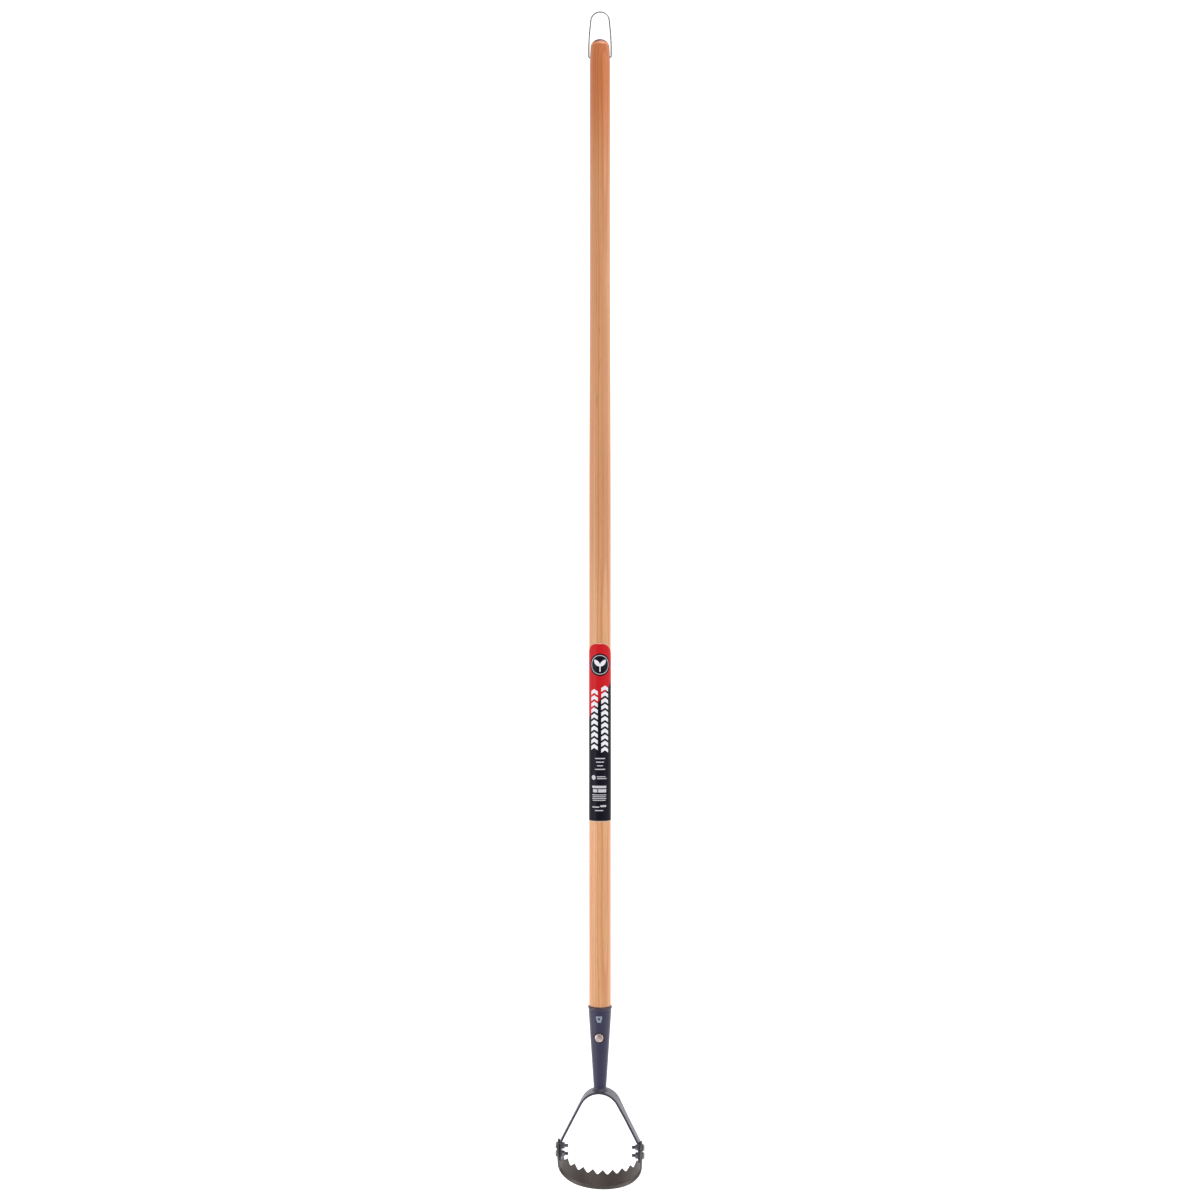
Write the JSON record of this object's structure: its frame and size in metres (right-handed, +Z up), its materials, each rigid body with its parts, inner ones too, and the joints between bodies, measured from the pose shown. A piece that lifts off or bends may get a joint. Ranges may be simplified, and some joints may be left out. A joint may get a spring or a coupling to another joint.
{
  "type": "stirrup hoe",
  "caption": "Long-handled stirrup hoe: a bowed, toothed blade rocks on bolts between the ends of a steel yoke, on an ash handle with a wire hanger.",
  "frame": {"origin": "on the handle's axis, at the underside of the wire hanger's crown, where a hook carries it", "axes": "+Z up the handle, +X to the right along the pivot bolts, the label faces -Y"},
  "size_m": [0.1294, 0.0663, 1.7155],
  "materials": {
    "ash_wood": "clear lacquered ash with straight grain",
    "label_film": "satin printed film",
    "wire": "drawn zinc-plated wire",
    "painted_steel": "dark navy enamel, satin",
    "rivet_steel": "plain steel, dull",
    "blade_steel": "dark oil-tempered spring steel with ground edges",
    "zinc_hardware": "dull zinc plate"
  },
  "bodies": {
    "handle_assembly": {"handle": "ash_wood", "label": "label_film", "socket": "painted_steel", "socket_rivet": "rivet_steel", "weld_bead": "painted_steel", "yoke": "painted_steel", "pivot_bolt_left": "zinc_hardware", "pivot_bolt_right": "zinc_hardware", "stop_bolt_left": "zinc_hardware", "stop_bolt_right": "zinc_hardware", "pivot_bush_left": "zinc_hardware", "pivot_bush_right": "zinc_hardware", "stop_bush_left": "zinc_hardware", "stop_bush_right": "zinc_hardware", "pivot_washer_left": "zinc_hardware", "pivot_washer_right": "zinc_hardware", "stop_washer_left": "zinc_hardware", "stop_washer_right": "zinc_hardware", "pivot_nut_left": "zinc_hardware", "pivot_nut_right": "zinc_hardware", "stop_nut_left": "zinc_hardware", "stop_nut_right": "zinc_hardware"},
    "stirrup_blade": {"blade": "blade_steel"},
    "wire_hanger": {"hanger": "wire"}
  },
  "joints": [
    {"name": "blade_swing", "type": "hinge", "parent": "handle_assembly", "child": "stirrup_blade", "pos_m": [0, 0, -1.6555], "axis": [1, 0, 0], "range_deg": [-30, 0]},
    {"name": "hanger_swing", "type": "hinge", "parent": "handle_assembly", "child": "wire_hanger", "pos_m": [0, 0, -0.0653], "axis": [1, 0, 0], "range_deg": [-160, 160]}
  ]
}
